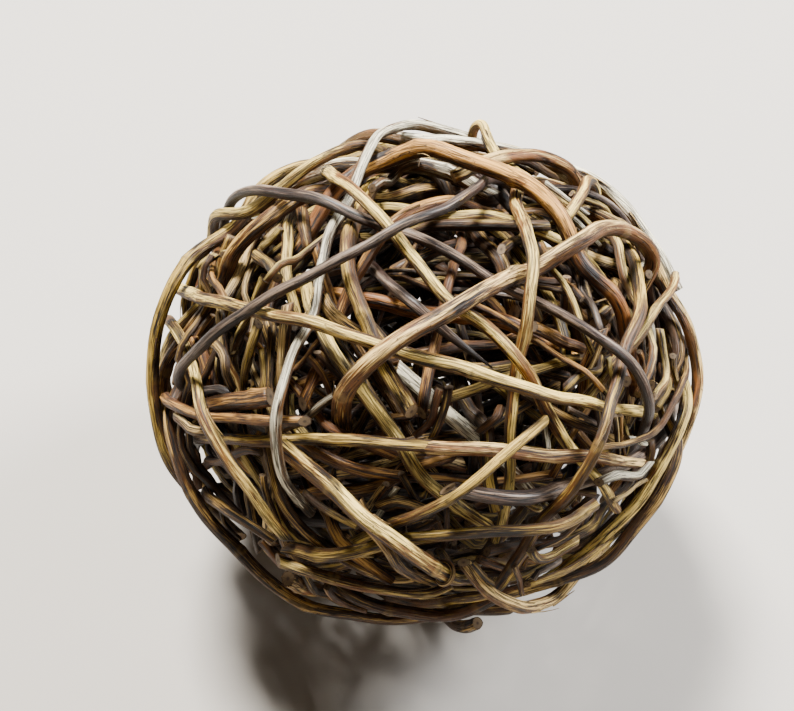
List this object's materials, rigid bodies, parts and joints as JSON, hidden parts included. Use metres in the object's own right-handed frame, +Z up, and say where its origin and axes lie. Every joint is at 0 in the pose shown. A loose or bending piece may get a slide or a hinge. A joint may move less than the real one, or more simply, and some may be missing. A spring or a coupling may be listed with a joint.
{
  "type": "decorative wicker ball",
  "caption": "Hollow round ornament wound loosely from willow and vine rods with the bark on, which weave over and under each other, for a table or a bowl.",
  "frame": {"origin": "on the table under the middle of the ball", "axes": "+X to the right across the ball's widest way, +Y away from its show side, +Z up"},
  "size_m": [0.1488, 0.1344, 0.1275],
  "materials": {
    "straw_bark": "pale yellow-brown bark with a soft sheen, darker at the nodes",
    "olive_bark": "green-brown bark, finely ridged along the rod",
    "tan_bark": "pinkish tan bark, worn pale on the ridges",
    "brown_bark": "mid-brown bark, dull",
    "russet_bark": "orange-brown bark, slightly glossy",
    "plum_bark": "dark purple-brown bark, smooth and slightly glossy",
    "grey_bark": "grey-brown weathered bark"
  },
  "bodies": {
    "root": {"long_straw_rod": "straw_bark", "plum_face_rod": "plum_bark", "stout_tan_rod": "tan_bark", "dark_long_rod": "plum_bark", "russet_arch_rod": "russet_bark", "crown_hook_rod": "straw_bark", "split_tip_rod": "straw_bark", "left_brace_rod": "straw_bark", "grey_drop_rod": "grey_bark", "right_sweep_rod": "olive_bark", "low_cross_rod": "olive_bark", "stout_straw_rod": "straw_bark", "level_rod_left": "olive_bark", "level_rod_right": "tan_bark", "russet_low_rod": "russet_bark", "rising_olive_rod": "olive_bark", "falling_straw_rod": "straw_bark", "inner_grey_rod": "grey_bark", "left_stout_rod": "brown_bark", "left_rim_rod": "olive_bark", "left_second_rod": "olive_bark", "crown_left_rod": "straw_bark", "crown_arch_rod": "grey_bark", "crown_thin_rod": "straw_bark", "right_rim_rod": "tan_bark", "right_long_rod": "straw_bark", "low_rim_rod": "brown_bark", "low_left_rim_rod": "brown_bark", "low_straw_rod": "straw_bark", "low_knee_rod": "tan_bark", "hook_stub_rod": "straw_bark", "right_poke_rod": "straw_bark", "inner_amber_rod": "russet_bark", "inner_plum_rod": "plum_bark", "high_cross_rod": "straw_bark", "inner_level_rod": "brown_bark", "inner_upright_rod": "brown_bark", "left_upright_rod": "straw_bark", "foot_rod_1": "brown_bark", "foot_rod_2": "tan_bark", "foot_rod_3": "olive_bark", "back_rod_01": "olive_bark", "back_rod_02": "tan_bark", "back_rod_03": "grey_bark", "back_rod_04": "brown_bark", "back_rod_05": "russet_bark", "back_rod_06": "straw_bark", "back_rod_07": "plum_bark", "back_rod_08": "olive_bark", "back_rod_09": "tan_bark", "back_rod_10": "grey_bark", "back_rod_11": "brown_bark", "back_rod_12": "russet_bark", "back_rod_13": "straw_bark", "back_rod_14": "plum_bark", "back_rod_15": "olive_bark", "back_rod_16": "tan_bark", "brown_twigs": "brown_bark", "olive_twigs": "olive_bark", "russet_twigs": "russet_bark"}
  },
  "joints": []
}
